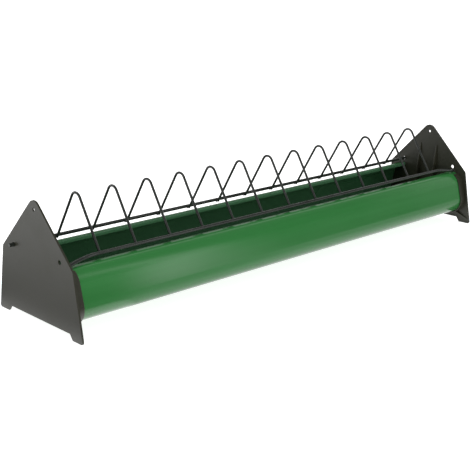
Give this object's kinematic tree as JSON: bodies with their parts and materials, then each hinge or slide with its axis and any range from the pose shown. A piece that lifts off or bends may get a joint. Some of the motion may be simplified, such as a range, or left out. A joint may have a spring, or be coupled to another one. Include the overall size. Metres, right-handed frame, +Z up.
{
  "type": "poultry feed trough",
  "caption": "Long plastic feed trough between two moulded end plates with feet, under a hinged grille of bent wires that swings back for filling.",
  "frame": {"origin": "on the ground, under the middle of the trough's length and width", "axes": "+X along the trough, +Y from the front edge, where the grille lifts, to the back edge, where it is hinged, +Z up"},
  "size_m": [0.762, 0.1728, 0.1505],
  "materials": {
    "trough_green": "extruded plastic, glossy, dark green",
    "plate_black": "injection moulded plastic, satin, black",
    "wire_black": "steel wire with a smooth black coating"
  },
  "bodies": {
    "feeder_base": {"trough": "trough_green", "left_end_plate": "plate_black", "right_end_plate": "plate_black"},
    "grille": {"back_rod": "wire_black", "front_rod": "wire_black", "arch_01": "wire_black", "arch_02": "wire_black", "arch_03": "wire_black", "arch_04": "wire_black", "arch_05": "wire_black", "arch_06": "wire_black", "arch_07": "wire_black", "arch_08": "wire_black", "arch_09": "wire_black", "arch_10": "wire_black", "arch_11": "wire_black", "arch_12": "wire_black", "arch_13": "wire_black"}
  },
  "joints": [
    {"name": "grille_hinge", "type": "hinge", "parent": "feeder_base", "child": "grille", "pos_m": [0, 0.0478, 0.0871], "axis": [-1, 0, 0], "range_deg": [0, 168]}
  ]
}
